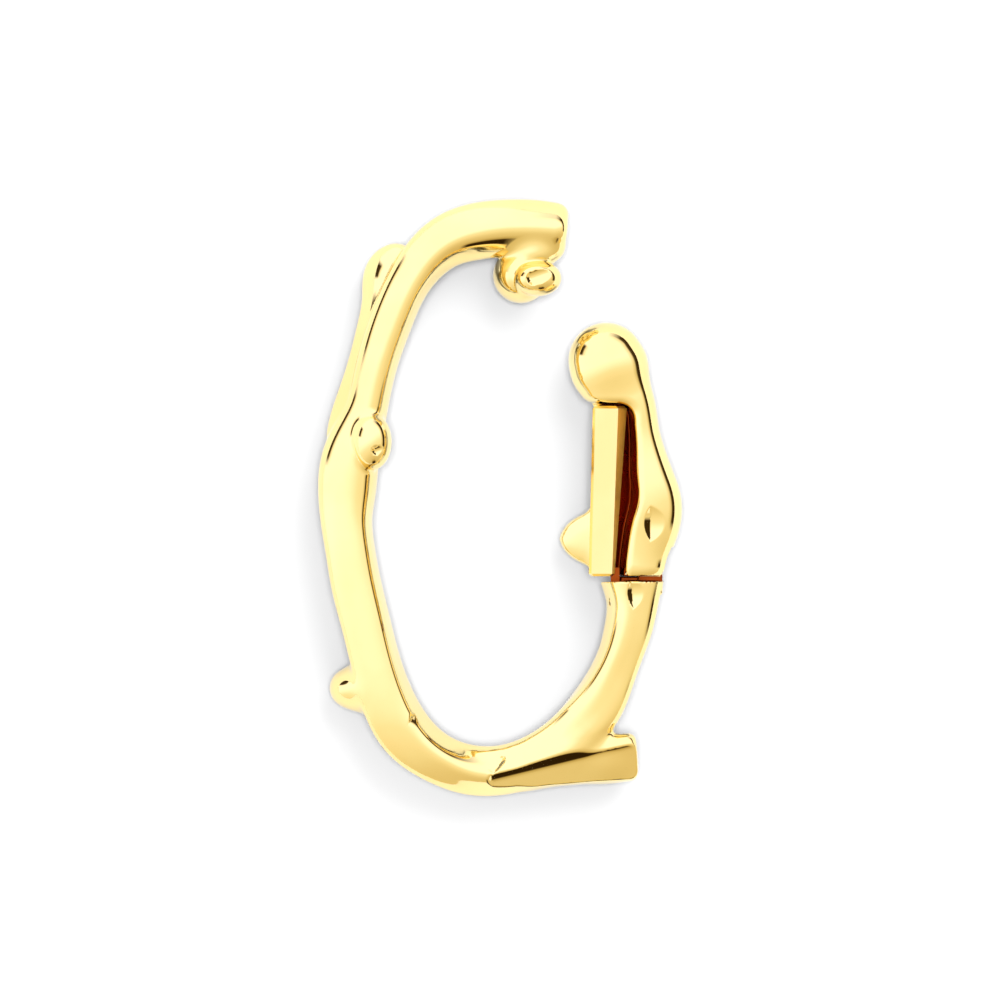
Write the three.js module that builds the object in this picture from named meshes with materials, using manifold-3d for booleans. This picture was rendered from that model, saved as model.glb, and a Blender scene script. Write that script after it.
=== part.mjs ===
// An ear cuff cast as a knobbly twig, bent into an open oval loop, with a hinged clip arm on its right side.
//
// The cuff lies on its back: X runs across the loop, Y along it and Z up, away from the table.
// Millimetres. The origin ends up under the middle of the cuff, on the table.
//
// The pieces are the cast loop with its buds, the bar that stands on the loop's right end, the clip arm
// that closes over that bar, and the pin on which the arm turns.
import * as THREE from "three";
import { mergeVertices } from "three/addons/utils/BufferGeometryUtils.js";
import Module from "manifold-3d";

const wasm = await Module();
wasm.setup();

// The whole cuff
const LOOP_LENGTH = 42; // lower branch to upper branch
const LOOP_WIDTH = 25.2; // left branch to the arm's elbow
const BRANCH = 3.7; // usual thickness of the cast twig
const SPINE_HEIGHT = 3.6; // middle of the twig above the table

// The clip arm
const ARM_LENGTH = 18.1; // seam to the crown of the head
const ARM_WIDTH = 6.7; // across the elbow
const ARM_DEPTH = 4.2; // front to back of the arm's stem
const HEAD_SIZE = 5.3; // across the round head
const HEAD_HEIGHT = 4.9; // front to back of the head

// The straight bar inside the arm
const BAR_LENGTH = 11.9;
const BAR_FOOT_WIDTH = 1.8;
const BAR_TOP_WIDTH = 2.4;
const BAR_DEPTH = 2.3;
const BAR_RISE = 0.45; // middle of the bar in front of the middle of the twig
const BAR_REACH = 3.05; // inner side of the bar's foot from the middle of the seat
const BAR_LEAN = 0.28; // how far the bar's top leans outward
const BAR_CHAMFER = 0.62; // the bevel along its outer front edge, at the top
const BAR_EDGE = 0.18; // the bevel at its other edges and ends

// The tenon that holds the bar in the seat
const TENON_WIDTH = 0.6;
const TENON_DEPTH = 1.2;
const TENON_LENGTH = 1.6;
const TENON_INSET = 1.2; // middle of the tenon from the middle of the seat
const TENON_CLEARANCE = 0.07;
const TAB_HEIGHT = 0.6; // the bar's foot reaches over the tenon for this height

// The low lip on the seat that keeps light from passing through the seam
const LIP_GAP = 0.1; // between the lip and the arm's foot
const LIP_DEPTH = 1.1;
const LIP_DROP = 0.1; // front of the lip behind the middle of the twig

// The hinge
const SEAM_GAP = 0.35; // between the seat and what stands over it
const SLOT_WIDTH = 0.7; // usual gap between bar and arm
const BAR_CLEARANCE = 0.2; // behind and above the bar
const PIVOT_REACH = 1.26; // pivot outward from the middle of the seat
const PIVOT_RISE = 1.4; // pivot above the seat
const TONGUE_RADIUS = 0.85;
const TONGUE_THICKNESS = 1.4;
const TONGUE_CLEARANCE = 0.12;
const PIN_RADIUS = 0.4;
const PIN_WALL = 0.7; // from the ends of the pin to the arm's front and back
const PIN_CLEARANCE = 0.06;

// Facets
const BRANCH_SIDES = 20;
const BUD_SIDES = 14;
const END_RINGS = 4;
const ROUND_SIDES = 24;
const LEAST_SIDE = 0.03; // a needle's shorter side is closed below this
const LEAST_HEIGHT = 0.004; // a triangle lower than this is a needle
const NEEDLE_PASSES = 12;

// Stations of the twig, from the free end of the upper branch round to the seat of the clip arm.
// x and y are shares of LOOP_WIDTH and LOOP_LENGTH from the lower left corner. z, wide and deep are
// shares of BRANCH, z from the twig's middle height. roll turns the section, in degrees.
const LOOP = [
  { x: 0.686, y: 0.946, z: 0.0, wide: 0.96, deep: 0.98, roll: 0 },
  { x: 0.611, y: 0.95, z: 0.01, wide: 1.05, deep: 1.04, roll: 0 },
  { x: 0.514, y: 0.95, z: 0.02, wide: 1.08, deep: 1.06, roll: 0 },
  { x: 0.431, y: 0.944, z: 0.04, wide: 1.08, deep: 1.06, roll: 0 },
  { x: 0.35, y: 0.927, z: 0.06, wide: 1.0, deep: 1.04, roll: 0 },
  { x: 0.281, y: 0.89, z: 0.08, wide: 0.89, deep: 1.0, roll: 0 },
  { x: 0.236, y: 0.848, z: 0.09, wide: 0.82, deep: 0.98, roll: 0 },
  { x: 0.2, y: 0.798, z: 0.08, wide: 0.81, deep: 0.98, roll: 0 },
  { x: 0.169, y: 0.745, z: 0.06, wide: 0.79, deep: 0.98, roll: 0 },
  { x: 0.147, y: 0.695, z: 0.03, wide: 0.77, deep: 0.98, roll: 0 },
  { x: 0.128, y: 0.648, z: 0.0, wide: 0.82, deep: 1.0, roll: 0 },
  { x: 0.103, y: 0.605, z: -0.02, wide: 0.98, deep: 1.04, roll: 0 },
  { x: 0.083, y: 0.562, z: -0.03, wide: 1.1, deep: 1.08, roll: 0 },
  { x: 0.075, y: 0.513, z: -0.02, wide: 1.1, deep: 1.06, roll: 0 },
  { x: 0.073, y: 0.467, z: 0.0, wide: 0.99, deep: 1.0, roll: 0 },
  { x: 0.083, y: 0.417, z: 0.02, wide: 0.94, deep: 0.98, roll: 0 },
  { x: 0.1, y: 0.358, z: 0.03, wide: 0.95, deep: 0.98, roll: 0 },
  { x: 0.125, y: 0.297, z: 0.03, wide: 0.94, deep: 1.0, roll: 0 },
  { x: 0.15, y: 0.237, z: 0.02, wide: 0.94, deep: 1.02, roll: 4 },
  { x: 0.183, y: 0.172, z: 0.0, wide: 1.0, deep: 1.06, roll: 12 },
  { x: 0.242, y: 0.107, z: -0.02, wide: 1.04, deep: 1.08, roll: 24 },
  { x: 0.331, y: 0.065, z: -0.03, wide: 0.95, deep: 1.04, roll: 34 },
  { x: 0.419, y: 0.047, z: -0.04, wide: 0.95, deep: 1.0, roll: 40 },
  { x: 0.508, y: 0.047, z: -0.04, wide: 0.95, deep: 1.0, roll: 40 },
  { x: 0.603, y: 0.065, z: -0.03, wide: 0.98, deep: 1.02, roll: 30 },
  { x: 0.697, y: 0.105, z: -0.01, wide: 0.98, deep: 1.04, roll: 16 },
  { x: 0.767, y: 0.153, z: 0.02, wide: 1.0, deep: 1.02, roll: 6 },
  { x: 0.808, y: 0.2, z: 0.03, wide: 0.89, deep: 0.98, roll: 0 },
  { x: 0.836, y: 0.243, z: 0.04, wide: 0.85, deep: 0.96, roll: 0 },
  { x: 0.856, y: 0.283, z: 0.03, wide: 0.91, deep: 0.98, roll: 0 },
  { x: 0.867, y: 0.323, z: 0.01, wide: 0.98, deep: 1.04, roll: 0 },
  { x: 0.867, y: 0.3617, z: 0.0, wide: 1.2, deep: 1.12, roll: 0 },
];

// The ridge down the back of the upper left bend, with the bud at its top. Columns as in LOOP.
const BACK_RIDGE = [
  { x: 0.262, y: 0.905, z: -0.1, wide: 0.62, deep: 0.7, roll: 0 },
  { x: 0.222, y: 0.89, z: -0.22, wide: 0.86, deep: 0.8, roll: 0 },
  { x: 0.187, y: 0.866, z: -0.3, wide: 0.92, deep: 0.9, roll: 0 },
  { x: 0.171, y: 0.833, z: -0.25, wide: 0.74, deep: 0.8, roll: 0 },
  { x: 0.152, y: 0.783, z: -0.18, wide: 0.66, deep: 0.7, roll: 0 },
  { x: 0.127, y: 0.725, z: -0.15, wide: 0.66, deep: 0.7, roll: 0 },
  { x: 0.096, y: 0.667, z: -0.12, wide: 0.66, deep: 0.7, roll: 0 },
  { x: 0.066, y: 0.615, z: -0.1, wide: 0.6, deep: 0.7, roll: 0 },
  { x: 0.05, y: 0.575, z: -0.08, wide: 0.5, deep: 0.6, roll: 0 },
];

// The cut stub at the lower right, where the twig goes on past the bend. Columns as in LOOP.
const END_STUB = [
  { x: 0.56, y: 0.048, z: -0.06, wide: 0.8, deep: 0.9, roll: 38 },
  { x: 0.66, y: 0.052, z: -0.06, wide: 0.72, deep: 0.9, roll: 38 },
  { x: 0.76, y: 0.059, z: -0.06, wide: 0.74, deep: 0.94, roll: 36 },
  { x: 0.83, y: 0.064, z: -0.06, wide: 0.76, deep: 1.0, roll: 34 },
  { x: 0.881, y: 0.066, z: -0.06, wide: 0.76, deep: 1.02, roll: 34 },
];

// Buds of the loop as ellipsoids. x and y are shares of LOOP_WIDTH and LOOP_LENGTH; z, from the twig's
// middle height, and the half sizes along X, Y and Z are shares of BRANCH.
const LOOP_BUDS = {
  pad_back: { x: 0.558, y: 0.872, z: -0.3, half: [0.53, 0.53, 0.67] },
  pad_front: { x: 0.605, y: 0.868, z: 0.22, half: [0.4, 0.4, 0.42] },
  pad_neck: { x: 0.6, y: 0.91, z: -0.05, half: [0.46, 0.34, 0.5] },
  knob: { x: 0.144, y: 0.594, z: 0.36, half: [0.38, 0.54, 0.44] },
  foot_top: { x: 0.2, y: 0.874, z: -0.5, half: [0.4, 0.44, 0.47] },
  foot_left: { x: 0.09, y: 0.183, z: -0.42, half: [0.44, 0.4, 0.55] },
  foot_left_root: { x: 0.135, y: 0.185, z: -0.25, half: [0.45, 0.5, 0.45] },
  foot_right: { x: 0.79, y: 0.062, z: -0.45, half: [0.5, 0.36, 0.52] },
};

// Stations of the clip arm's casting from head to foot. x is a share of ARM_WIDTH from the middle of
// the seat, y of ARM_LENGTH above it, z and deep of ARM_DEPTH, wide of ARM_WIDTH.
const ARM = [
  { x: -0.24, y: 0.83, z: 0.0, wide: 0.72, deep: 1.02, roll: 0 },
  { x: -0.156, y: 0.748, z: 0.0, wide: 0.69, deep: 1.0, roll: 0 },
  { x: -0.094, y: 0.663, z: 0.0, wide: 0.69, deep: 0.98, roll: 0 },
  { x: -0.073, y: 0.57, z: 0.0, wide: 0.73, deep: 0.98, roll: 0 },
  { x: -0.042, y: 0.469, z: 0.01, wide: 0.82, deep: 1.02, roll: 0 },
  { x: 0.0, y: 0.368, z: 0.02, wide: 0.93, deep: 1.08, roll: 0 },
  { x: 0.026, y: 0.291, z: 0.02, wide: 0.99, deep: 1.1, roll: 0 },
  { x: 0.01, y: 0.205, z: 0.01, wide: 0.95, deep: 1.06, roll: 0 },
  { x: -0.031, y: 0.112, z: 0.0, wide: 0.85, deep: 1.0, roll: 0 },
  { x: -0.052, y: 0.0, z: 0.0, wide: 0.79, deep: 0.98, roll: 0 },
];

// The bud on the back of the arm, beside the bar. Columns as in ARM.
const ARM_BUD = [
  { x: -0.2, y: 0.163, z: -0.3, wide: 0.72, deep: 0.46, roll: 0 },
  { x: -0.44, y: 0.163, z: -0.36, wide: 0.58, deep: 0.5, roll: 0 },
  { x: -0.6, y: 0.163, z: -0.38, wide: 0.44, deep: 0.48, roll: 0 },
  { x: -0.772, y: 0.163, z: -0.38, wide: 0.34, deep: 0.42, roll: 0 },
];

// The outer side of the slot beside the bar. up is a share of the slot's height, gap of SLOT_WIDTH,
// measured from the bar's outer side.
const SLOT_WALL = [
  { up: -0.1, gap: 1.0 },
  { up: 0.02, gap: 1.0 },
  { up: 0.18, gap: 1.1 },
  { up: 0.35, gap: 1.4 },
  { up: 0.47, gap: 1.75 },
  { up: 0.6, gap: 1.5 },
  { up: 0.75, gap: 1.3 },
  { up: 0.88, gap: 1.0 },
];

const GOLD = new THREE.MeshStandardMaterial({ color: 0xf5d77a, roughness: 0.12, metalness: 1 });
const UP = new THREE.Vector3(0, 0, 1);
const BIG = 40; // reach of a cutting block past what it cuts

const onLoop = (x, y) => [x * LOOP_WIDTH, y * LOOP_LENGTH];
const seatRow = LOOP[LOOP.length - 1];
const [SEAT_X, SEAT_Y] = onLoop(seatRow.x, seatRow.y);
const pivot = new THREE.Vector3(SEAT_X + PIVOT_REACH, SEAT_Y + PIVOT_RISE, SPINE_HEIGHT);
const slotHeight = SEAM_GAP + BAR_LENGTH + BAR_CLEARANCE;
const barMiddle = SPINE_HEIGHT + BAR_RISE;
const pinLength = ARM_DEPTH - 2 * PIN_WALL;
const barBack = barMiddle - BAR_DEPTH / 2;

// A closed geometry through rings of points of equal count, with a fan over each end.
function loft(rings) {
  const sides = rings[0].length;
  const middle = (ring) => ring.reduce((sum, p) => sum.add(p), new THREE.Vector3()).divideScalar(sides);
  const points = [...rings.flat(), middle(rings[0]), middle(rings.at(-1))];
  const first = points.length - 2;
  const last = points.length - 1;
  const faces = [];
  for (let i = 0; i < sides; i++) {
    const next = (i + 1) % sides;
    faces.push(first, i, next);
    faces.push(last, (rings.length - 1) * sides + next, (rings.length - 1) * sides + i);
    for (let r = 0; r < rings.length - 1; r++) {
      const low = r * sides;
      const high = low + sides;
      faces.push(low + i, high + next, low + next, low + i, high + i, high + next);
    }
  }
  const flat = points.flatMap((p) => p.toArray());
  return new THREE.BufferGeometry()
    .setAttribute("position", new THREE.Float32BufferAttribute(flat, 3))
    .setIndex(faces);
}

// Where the rings of a twig lie, as shares of its length, closer together in its rounded ends.
function ringPlaces(steps, length, startRound, endRound) {
  const places = [];
  for (let i = 0; i < END_RINGS; i++) {
    const turned = 1 - Math.cos((i / END_RINGS) * (Math.PI / 2));
    if (startRound) places.push((startRound / length) * turned);
    if (endRound) places.push(1 - (endRound / length) * turned);
  }
  const low = startRound / length;
  const high = 1 - endRound / length;
  for (let i = 0; i <= steps; i++) places.push(low + (high - low) * (i / steps));
  return places.sort((a, b) => a - b);
}

// How much a section draws in at a distance from an end that is rounded to a radius.
const drawnIn = (distance, radius) =>
  distance >= radius ? 0 : radius - Math.sqrt(Math.max(0, radius * radius - (radius - distance) ** 2));

// A twig through rows of {x, y, z, wide, deep, roll} in millimetres and degrees. Its sections are
// rounded squares, squarer for a higher power.
function twig(rows, { power, steps, sides, startRound = 0, endRound = 0 }) {
  const spine = new THREE.CatmullRomCurve3(rows.map((r) => new THREE.Vector3(r.x, r.y, r.z)));
  const sizes = new THREE.CatmullRomCurve3(
    rows.map((r) => new THREE.Vector3(r.wide / 2, r.deep / 2, THREE.MathUtils.degToRad(r.roll))),
    false,
    "catmullrom",
    0.5,
  );
  const length = spine.getLength();
  const section = (angle) => {
    const round = (v) => Math.sign(v) * Math.abs(v) ** (2 / power);
    return [round(Math.cos(angle)), round(Math.sin(angle))];
  };
  const rings = ringPlaces(steps, length, startRound, endRound).map((place) => {
    const t = spine.getUtoTmapping(place);
    const centre = spine.getPoint(t);
    const along = spine.getTangent(t);
    const across = new THREE.Vector3().crossVectors(along, UP).normalize();
    const front = new THREE.Vector3().crossVectors(across, along);
    const size = sizes.getPoint(t);
    const inset = drawnIn(place * length, startRound) + drawnIn((1 - place) * length, endRound);
    const wide = Math.max(size.x - inset, size.x * 0.06);
    const deep = Math.max(size.y - inset, size.y * 0.06);
    return Array.from({ length: sides }, (_, i) => {
      const [u, v] = section((i / sides) * 2 * Math.PI);
      const cos = Math.cos(size.z);
      const sin = Math.sin(size.z);
      return centre
        .clone()
        .addScaledVector(across, u * wide * cos - v * deep * sin)
        .addScaledVector(front, u * wide * sin + v * deep * cos);
    });
  });
  return loft(rings);
}

// A three.js geometry as a manifold-3d solid.
function solid(geometry) {
  const bare = geometry.index ? geometry.toNonIndexed() : geometry.clone();
  bare.deleteAttribute("normal");
  bare.deleteAttribute("uv");
  const merged = mergeVertices(bare, 1e-4);
  return new wasm.Manifold(
    new wasm.Mesh({
      numProp: 3,
      vertProperties: merged.attributes.position.array,
      triVerts: new Uint32Array(merged.index.array),
    }),
  );
}

// The triangles round each point, and the third point beyond each directed edge.
function neighbours(triangles) {
  const round = new Map();
  const beyond = new Map();
  triangles.forEach((triangle, index) => {
    triangle.forEach((corner, k) => {
      if (!round.has(corner)) round.set(corner, []);
      round.get(corner).push(index);
      beyond.set(`${corner},${triangle[(k + 1) % 3]}`, { index, far: triangle[(k + 2) % 3] });
    });
  });
  return { round, beyond };
}

// Turns a triangle so that its longest side runs from its first corner to its second.
function longestFirst(triangle, points) {
  const side = (k) => points[triangle[k]].distanceTo(points[triangle[(k + 1) % 3]]);
  const k = [0, 1, 2].reduce((best, i) => (side(i) > side(best) ? i : best), 0);
  return [triangle[k], triangle[(k + 1) % 3], triangle[(k + 2) % 3]];
}

// One pass over the needles: a needle with a short side loses that side, any other is turned
// across its longest side. Returns the new triangles, and null if there was nothing to do.
function needlePass(triangles, points) {
  const { round, beyond } = neighbours(triangles);
  const around = (corner) => new Set(round.get(corner).flatMap((index) => triangles[index]));
  const touched = new Set();
  const gone = new Set();
  const next = triangles.map((triangle) => [...triangle]);
  let changes = 0;
  triangles.forEach((triangle, index) => {
    const [a, b, c] = longestFirst(triangle, points);
    const longest = points[a].distanceTo(points[b]);
    if (2 * new THREE.Triangle(points[a], points[b], points[c]).getArea() > LEAST_HEIGHT * longest) return;
    const short = points[a].distanceTo(points[c]) < points[b].distanceTo(points[c]) ? a : b;
    const across = beyond.get(`${b},${a}`);
    const patch = new Set([...around(a), ...around(b), ...around(c), across.far]);
    if ([...patch].some((corner) => touched.has(corner))) return;
    const shared = [...around(c)].filter((corner) => around(short).has(corner)).length;
    if (points[short].distanceTo(points[c]) < LEAST_SIDE && shared === 4) {
      for (const at of round.get(c)) {
        next[at] = next[at].map((corner) => (corner === c ? short : corner));
        if (new Set(next[at]).size < 3) gone.add(at);
      }
    } else if (!around(c).has(across.far)) {
      next[index] = [a, across.far, c];
      next[across.index] = [across.far, b, c];
    } else {
      return;
    }
    patch.forEach((corner) => touched.add(corner));
    changes += 1;
  });
  return changes ? next.filter((_, index) => !gone.has(index)) : null;
}

// The geometry of a manifold-3d solid, without the needle triangles that cuts leave.
function geometryOf(made) {
  const { vertProperties, triVerts } = made.getMesh();
  const points = [];
  for (let i = 0; i < vertProperties.length; i += 3) points.push(new THREE.Vector3().fromArray(vertProperties, i));
  let triangles = [];
  for (let i = 0; i < triVerts.length; i += 3) triangles.push([...triVerts.subarray(i, i + 3)]);
  for (let pass = 0; pass < NEEDLE_PASSES; pass++) triangles = needlePass(triangles, points) ?? triangles;
  return new THREE.BufferGeometry()
    .setAttribute("position", new THREE.BufferAttribute(new Float32Array(vertProperties), 3))
    .setIndex(triangles.flat());
}

// A manifold-3d solid as a named three.js mesh.
function piece(name, made) {
  const geometry = geometryOf(made);
  geometry.computeVertexNormals();
  const mesh = new THREE.Mesh(geometry, GOLD);
  mesh.name = name;
  return mesh;
}

// A block between two corners.
function block(low, high) {
  const size = high.map((v, i) => v - low[i]);
  const middle = high.map((v, i) => (v + low[i]) / 2);
  return solid(new THREE.BoxGeometry(...size).translate(...middle));
}

// A cylinder about the pivot's axis, its middle at the twig's middle height.
function onPivot(radius, height) {
  const round = new THREE.CylinderGeometry(radius, radius, height, ROUND_SIDES);
  return solid(round.rotateX(Math.PI / 2).translate(pivot.x, pivot.y, pivot.z));
}

// The blind bore that the pin turns in.
const pinBore = () => onPivot(PIN_RADIUS + PIN_CLEARANCE, pinLength + 2 * PIN_CLEARANCE);

function ellipsoid(centre, half) {
  const ball = new THREE.SphereGeometry(1, BUD_SIDES, BUD_SIDES - 4);
  return solid(ball.scale(...half).translate(...centre));
}

const loopRows = (rows) =>
  rows.map((r) => ({
    x: r.x * LOOP_WIDTH,
    y: r.y * LOOP_LENGTH,
    z: SPINE_HEIGHT + r.z * BRANCH,
    wide: r.wide * BRANCH,
    deep: r.deep * BRANCH,
    roll: r.roll,
  }));

const armRows = (rows) =>
  rows.map((r) => ({
    x: SEAT_X + r.x * ARM_WIDTH,
    y: SEAT_Y + r.y * ARM_LENGTH,
    z: SPINE_HEIGHT + r.z * ARM_DEPTH,
    wide: r.wide * ARM_WIDTH,
    deep: r.deep * ARM_DEPTH,
    roll: r.roll,
  }));

// The tongue of the hinge: a plate that rises from the seat and is round about the pivot.
function tongue() {
  const root = block(
    [pivot.x - TONGUE_RADIUS, SEAT_Y - BRANCH / 4, pivot.z - TONGUE_THICKNESS / 2],
    [pivot.x + TONGUE_RADIUS, pivot.y, pivot.z + TONGUE_THICKNESS / 2],
  );
  return root.add(onPivot(TONGUE_RADIUS, TONGUE_THICKNESS));
}

// The lip on the seat, from the tenon to the tongue.
function lip() {
  const front = SPINE_HEIGHT - LIP_DROP;
  return block(
    [SEAT_X - TENON_INSET, SEAT_Y - BRANCH / 4, front - LIP_DEPTH],
    [pivot.x - TONGUE_RADIUS / 2, SEAT_Y + SEAM_GAP - LIP_GAP, front],
  );
}

// The tenon, or its socket when it is given a clearance.
function tenon(clearance) {
  return block(
    [
      SEAT_X - TENON_INSET - TENON_WIDTH / 2 - clearance,
      SEAT_Y - TENON_LENGTH - clearance,
      SPINE_HEIGHT - TENON_DEPTH / 2 - clearance,
    ],
    [
      SEAT_X - TENON_INSET + TENON_WIDTH / 2 + clearance,
      SEAT_Y + SEAM_GAP + TAB_HEIGHT / 2,
      SPINE_HEIGHT + TENON_DEPTH / 2 + clearance,
    ],
  );
}

// The cast loop: twig, back ridge, cut stub, buds, the hinge's tongue and the lip, less the tenon's socket.
function loopFrame() {
  const branch = { power: 2.6, steps: 96, sides: BRANCH_SIDES };
  const small = { power: 2.2, steps: 20, sides: BUD_SIDES };
  let made = solid(twig(loopRows(LOOP), { ...branch, startRound: BRANCH * 0.2 }));
  made = made.add(solid(twig(loopRows(BACK_RIDGE), { ...small, startRound: BRANCH * 0.2, endRound: BRANCH * 0.2 })));
  made = made.add(solid(twig(loopRows(END_STUB), { ...small, power: 2.8, endRound: BRANCH * 0.14 })));
  for (const bud of Object.values(LOOP_BUDS)) {
    const centre = [...onLoop(bud.x, bud.y), SPINE_HEIGHT + bud.z * BRANCH];
    made = made.add(ellipsoid(centre, bud.half.map((h) => h * BRANCH)));
  }
  return made.add(tongue()).add(lip()).subtract(pinBore()).subtract(tenon(TENON_CLEARANCE));
}

// The bar's section at a share of its height, drawn in at its ends by an inset.
function barRing(up, inset) {
  const y = SEAT_Y + SEAM_GAP + up * BAR_LENGTH;
  const left = SEAT_X - BAR_REACH + up * BAR_LEAN + inset;
  const right = barOuter(up) - inset;
  const back = barBack + inset;
  const front = barBack + BAR_DEPTH - inset;
  const chamfer = BAR_EDGE + up * (BAR_CHAMFER - BAR_EDGE);
  const outline = [
    [left, back + BAR_EDGE],
    [left + BAR_EDGE, back],
    [right - BAR_EDGE, back],
    [right, back + BAR_EDGE],
    [right, front - 1.6 * chamfer],
    [right - chamfer, front],
    [left + BAR_EDGE, front],
    [left, front - BAR_EDGE],
  ];
  return outline.map(([x, z]) => new THREE.Vector3(x, y, z));
}

// The bar's outer side at a share of its height.
function barOuter(up) {
  const width = BAR_FOOT_WIDTH + up * (BAR_TOP_WIDTH - BAR_FOOT_WIDTH);
  return SEAT_X - BAR_REACH + up * BAR_LEAN + width;
}

// The straight bar, with the tab and tenon at its foot.
function clipBar() {
  const end = BAR_EDGE / BAR_LENGTH;
  const rings = [barRing(0, BAR_EDGE), barRing(end, 0), barRing(1 - end, 0), barRing(1, BAR_EDGE)];
  const tab = block(
    [barOuter(0) - BAR_FOOT_WIDTH / 2, SEAT_Y + SEAM_GAP, SPINE_HEIGHT - TENON_DEPTH / 2],
    [SEAT_X - TENON_INSET + TENON_WIDTH / 2, SEAT_Y + SEAM_GAP + TAB_HEIGHT, SPINE_HEIGHT + TENON_DEPTH / 2],
  );
  return solid(loft(rings)).add(tab).add(tenon(0));
}

// The channel in the arm that clears the bar: open at the front, the inner side and the foot.
function channel() {
  const corner = barOuter(1);
  const top = SEAT_Y + slotHeight;
  const wall = SLOT_WALL.map(({ up, gap }) => [barOuter(up) + gap * SLOT_WIDTH, SEAT_Y + up * slotHeight]);
  const outline = new THREE.Shape();
  outline.moveTo(SEAT_X - BIG, top - slotHeight * 1.5);
  outline.lineTo(wall[0][0], top - slotHeight * 1.5);
  outline.lineTo(...wall[0]);
  outline.splineThru(wall.slice(1).map(([x, y]) => new THREE.Vector2(x, y)));
  outline.quadraticCurveTo(wall.at(-1)[0], top, corner - BAR_TOP_WIDTH / 3, top);
  outline.lineTo(SEAT_X - BIG, top);
  outline.closePath();
  const cut = new THREE.ExtrudeGeometry(outline, { depth: BIG, bevelEnabled: false, curveSegments: 8 });
  return solid(cut.translate(0, 0, barBack - BAR_CLEARANCE));
}

// What the hinge takes out of the arm: the tongue's slot, the pin's bore and the foot's outer corner.
function hingeCuts() {
  const reach = TONGUE_RADIUS + TONGUE_CLEARANCE;
  const half = TONGUE_THICKNESS / 2 + TONGUE_CLEARANCE;
  const slot = block([pivot.x - reach, SEAT_Y - BIG, pivot.z - half], [pivot.x + BIG, pivot.y + reach, pivot.z + half]);
  const corner = block([pivot.x, SEAT_Y - BIG, -BIG], [pivot.x + BIG, pivot.y, BIG]);
  return slot.add(pinBore()).add(corner.subtract(onPivot(PIVOT_RISE - PIN_CLEARANCE, 2 * BIG)));
}

// The clip arm: head, stem and bud, less the bar's channel, the hinge and what lies below the seam.
function clipArm() {
  const [headX, headY] = [SEAT_X - 0.271 * ARM_WIDTH, SEAT_Y + ARM_LENGTH - HEAD_SIZE / 2];
  let made = solid(twig(armRows(ARM), { power: 2.4, steps: 40, sides: BRANCH_SIDES }));
  made = made.add(ellipsoid([headX, headY, SPINE_HEIGHT], [HEAD_SIZE / 2, HEAD_SIZE / 2, HEAD_HEIGHT / 2]));
  made = made.add(solid(twig(armRows(ARM_BUD), { power: 2, steps: 6, sides: BUD_SIDES, endRound: ARM_WIDTH * 0.16 })));
  const below = block([SEAT_X - BIG, SEAT_Y - BIG, -BIG], [SEAT_X + BIG, SEAT_Y + SEAM_GAP, BIG]);
  return made.subtract(channel()).subtract(below).subtract(hingeCuts());
}

const hingePin = () => onPivot(PIN_RADIUS, pinLength);

const cuff = new THREE.Group();
cuff.name = "ear_cuff";
cuff.add(piece("loop_frame", loopFrame()));
cuff.add(piece("clip_bar", clipBar()));
cuff.add(piece("clip_arm", clipArm()));
cuff.add(piece("hinge_pin", hingePin()));

// The origin goes under the middle of the cuff, at its lowest point.
const extent = new THREE.Box3().setFromObject(cuff);
const middle = extent.getCenter(new THREE.Vector3());
for (const mesh of cuff.children) mesh.geometry.translate(-middle.x, -middle.y, -extent.min.z);

export default cuff;
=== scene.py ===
"""Dresses the ear cuff: polished castings in place of the faceted solids, and a studio view from above.

The castings are worked out as smooth distance fields in millimetres: tubes with rounded-square sections
along curved spines, and ellipsoids, that flow into each other. Each field is turned into a mesh whose
points lie exactly on its surface.
"""
import math

import bpy
import numpy as np
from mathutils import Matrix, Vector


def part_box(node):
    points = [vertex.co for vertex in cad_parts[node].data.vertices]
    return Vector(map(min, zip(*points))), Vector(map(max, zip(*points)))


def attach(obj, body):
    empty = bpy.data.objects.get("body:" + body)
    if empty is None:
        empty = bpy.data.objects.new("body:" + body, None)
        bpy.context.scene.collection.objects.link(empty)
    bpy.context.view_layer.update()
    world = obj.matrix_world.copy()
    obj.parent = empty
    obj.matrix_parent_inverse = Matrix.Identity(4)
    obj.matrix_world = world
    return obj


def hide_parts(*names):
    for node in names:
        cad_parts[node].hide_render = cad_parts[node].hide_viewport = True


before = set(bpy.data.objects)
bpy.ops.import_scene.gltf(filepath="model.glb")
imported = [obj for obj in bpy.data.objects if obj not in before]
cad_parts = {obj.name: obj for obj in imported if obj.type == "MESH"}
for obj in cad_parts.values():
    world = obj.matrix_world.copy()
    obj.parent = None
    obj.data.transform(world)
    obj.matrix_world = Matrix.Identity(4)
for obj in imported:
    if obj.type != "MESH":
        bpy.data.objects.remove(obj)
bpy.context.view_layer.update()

MM = 0.001

# The whole cuff. Lengths are in millimetres.
LOOP_LENGTH = 42.0
LOOP_WIDTH = 25.2
BRANCH = 3.7

# The clip arm
ARM_LENGTH = 18.1
ARM_WIDTH = 6.7
ARM_DEPTH = 4.2
HEAD_SIZE = 5.3
HEAD_HEIGHT = 4.9
HEAD_INSET = 0.271  # share of ARM_WIDTH from the seat's middle to the head's

# The bar and the slot beside it
BAR_LENGTH = 11.9
BAR_FOOT_WIDTH = 1.8
BAR_TOP_WIDTH = 2.4
BAR_REACH = 3.05
BAR_LEAN = 0.28
BAR_CLEARANCE = 0.2
BEVEL_LEAN = 0.3  # least share of a bevel's normal along X and along Z
TAB_HEIGHT = 0.6
SLOT_WIDTH = 0.7
SLOT_DIP = 0.5  # how much deeper the slot's floor is away from the bar
SLOT_LEAN = 0.12  # how far the slot narrows for each millimetre of depth
SLOT_SHADE_HEIGHT = 0.7  # height of the painted shade on its walls
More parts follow.
